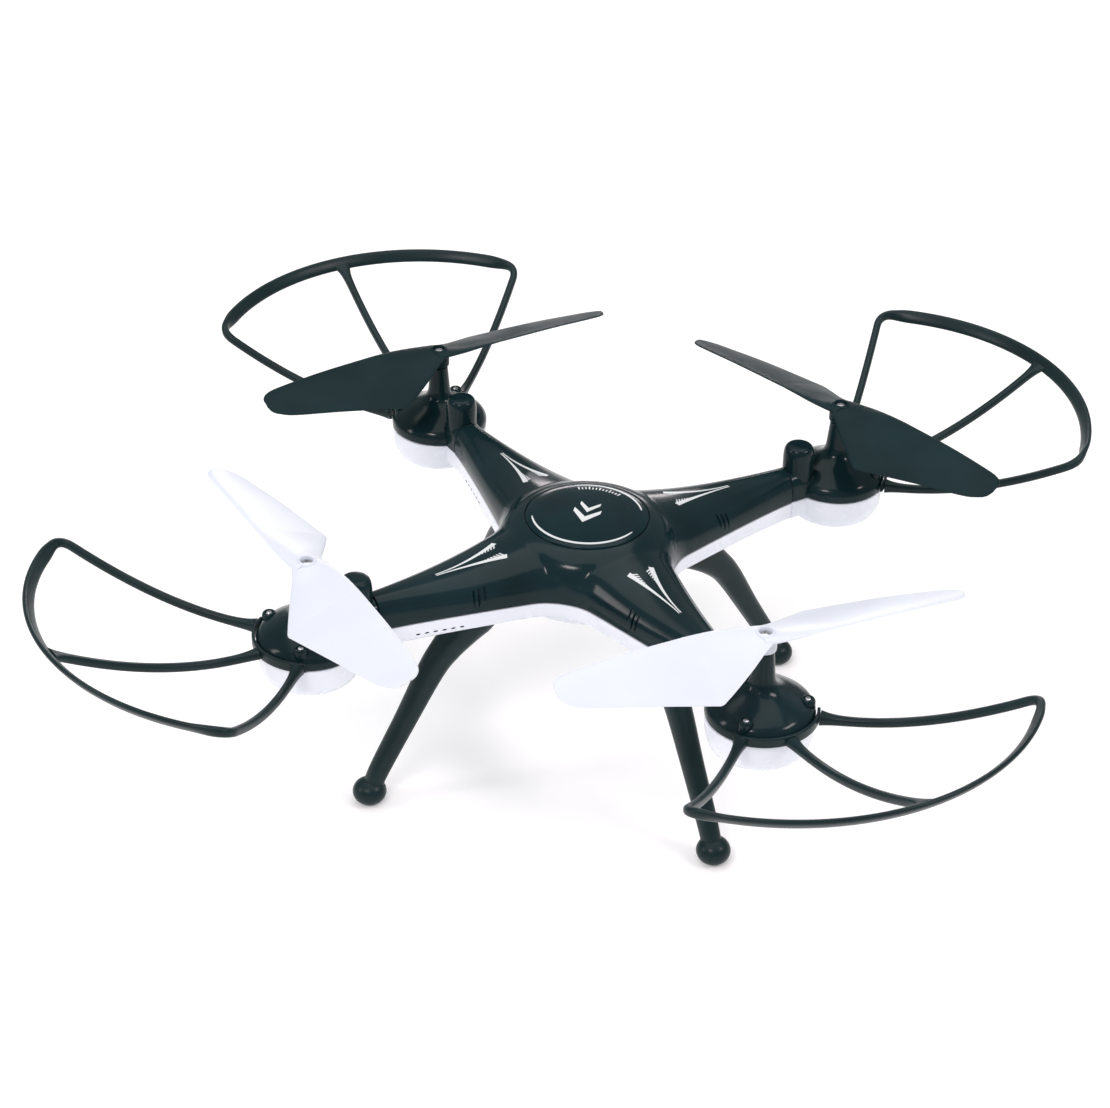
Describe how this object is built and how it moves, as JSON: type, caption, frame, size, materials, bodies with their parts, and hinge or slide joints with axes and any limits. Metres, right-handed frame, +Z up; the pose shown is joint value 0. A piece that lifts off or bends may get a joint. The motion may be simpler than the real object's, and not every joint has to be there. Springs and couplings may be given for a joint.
{
  "type": "quadcopter drone",
  "caption": "Small toy quadcopter with guarded geared propellers, an X-shaped two-tone body, curved landing legs, a hinged battery door and a slide switch.",
  "frame": {"origin": "on the ground plane under the middle of the body, level with the soles of the feet", "axes": "+Z up along the rotor axes, nose towards -Y, +X to the craft's own left"},
  "size_m": [0.3162, 0.3168, 0.102],
  "materials": {
    "black_shell": "polished moulded plastic, blue-black",
    "black_trim": "polished moulded plastic, slightly duller",
    "white_shell": "polished moulded plastic, cool white",
    "white_blade": "satin moulded plastic, cool white",
    "black_blade": "satin moulded plastic, blue-black",
    "nylon": "moulded nylon",
    "steel": "drawn steel",
    "brass": "turned brass",
    "board": "solder mask",
    "battery_wrap": "shrink wrap",
    "lead": "twisted pair insulation"
  },
  "bodies": {
    "airframe": {"upper_shell": "black_shell", "lower_shell": "white_shell", "canopy_plate": "black_shell", "battery": "battery_wrap", "circuit_board": "board", "switch_body": "steel", "leg_fl": "black_trim", "motor_lead_fl": "lead", "motor_mount_fl": "black_shell", "gear_cover_fl": "white_shell", "guard_fl": "black_trim", "motor_fl": "steel", "upper_bush_fl": "brass", "lower_bush_fl": "brass", "leg_fr": "black_trim", "motor_lead_fr": "lead", "motor_mount_fr": "black_shell", "gear_cover_fr": "white_shell", "guard_fr": "black_trim", "motor_fr": "steel", "upper_bush_fr": "brass", "lower_bush_fr": "brass", "leg_rr": "black_trim", "motor_lead_rr": "lead", "motor_mount_rr": "black_shell", "gear_cover_rr": "white_shell", "guard_rr": "black_trim", "motor_rr": "steel", "upper_bush_rr": "brass", "lower_bush_rr": "brass", "leg_rl": "black_trim", "motor_lead_rl": "lead", "motor_mount_rl": "black_shell", "gear_cover_rl": "white_shell", "guard_rl": "black_trim", "motor_rl": "steel", "upper_bush_rl": "brass", "lower_bush_rl": "brass"},
    "rotor_fl": {"propeller_fl": "white_blade", "main_gear_fl": "nylon", "rotor_shaft_fl": "steel", "propeller_screw_fl": "steel"},
    "pinion_fl": {"pinion_fl": "brass"},
    "rotor_fr": {"propeller_fr": "white_blade", "main_gear_fr": "nylon", "rotor_shaft_fr": "steel", "propeller_screw_fr": "steel"},
    "pinion_fr": {"pinion_fr": "brass"},
    "rotor_rr": {"propeller_rr": "black_blade", "main_gear_rr": "nylon", "rotor_shaft_rr": "steel", "propeller_screw_rr": "steel"},
    "pinion_rr": {"pinion_rr": "brass"},
    "rotor_rl": {"propeller_rl": "black_blade", "main_gear_rl": "nylon", "rotor_shaft_rl": "steel", "propeller_screw_rl": "steel"},
    "pinion_rl": {"pinion_rl": "brass"},
    "door": {"battery_door": "white_shell"},
    "power_switch": {"switch_knob": "black_trim"}
  },
  "joints": [
    {"name": "rotor_fl_spin", "type": "hinge", "parent": "airframe", "child": "rotor_fl", "pos_m": [0.0725, -0.0725, 0.0625], "axis": [0, 0, 1], "continuous": true},
    {"name": "pinion_fl_spin", "type": "hinge", "parent": "airframe", "child": "pinion_fl", "pos_m": [0.06083, -0.06083, 0.068], "axis": [0, 0, 1], "continuous": true},
    {"name": "rotor_fr_spin", "type": "hinge", "parent": "airframe", "child": "rotor_fr", "pos_m": [-0.0725, -0.0725, 0.0625], "axis": [0, 0, 1], "continuous": true},
    {"name": "pinion_fr_spin", "type": "hinge", "parent": "airframe", "child": "pinion_fr", "pos_m": [-0.06083, -0.06083, 0.068], "axis": [0, 0, 1], "continuous": true},
    {"name": "rotor_rr_spin", "type": "hinge", "parent": "airframe", "child": "rotor_rr", "pos_m": [-0.0725, 0.0725, 0.0625], "axis": [0, 0, 1], "continuous": true},
    {"name": "pinion_rr_spin", "type": "hinge", "parent": "airframe", "child": "pinion_rr", "pos_m": [-0.06083, 0.06083, 0.068], "axis": [0, 0, 1], "continuous": true},
    {"name": "rotor_rl_spin", "type": "hinge", "parent": "airframe", "child": "rotor_rl", "pos_m": [0.0725, 0.0725, 0.0625], "axis": [0, 0, 1], "continuous": true},
    {"name": "pinion_rl_spin", "type": "hinge", "parent": "airframe", "child": "pinion_rl", "pos_m": [0.06083, 0.06083, 0.068], "axis": [0, 0, 1], "continuous": true},
    {"name": "battery_door_hinge", "type": "hinge", "parent": "airframe", "child": "door", "pos_m": [-0.0113, 0, 0.0602], "axis": [0, 1, 0], "range_deg": [0, 95]},
    {"name": "power_switch_slide", "type": "slide", "parent": "airframe", "child": "power_switch", "axis": [0, 1, 0], "range_m": [0, 0.0026]}
  ],
  "couplings": [
    {"joint": "pinion_fl_spin", "follows": "rotor_fl_spin", "ratio": -5.1111},
    {"joint": "pinion_fr_spin", "follows": "rotor_fr_spin", "ratio": -5.1111},
    {"joint": "pinion_rr_spin", "follows": "rotor_rr_spin", "ratio": -5.1111},
    {"joint": "pinion_rl_spin", "follows": "rotor_rl_spin", "ratio": -5.1111}
  ]
}
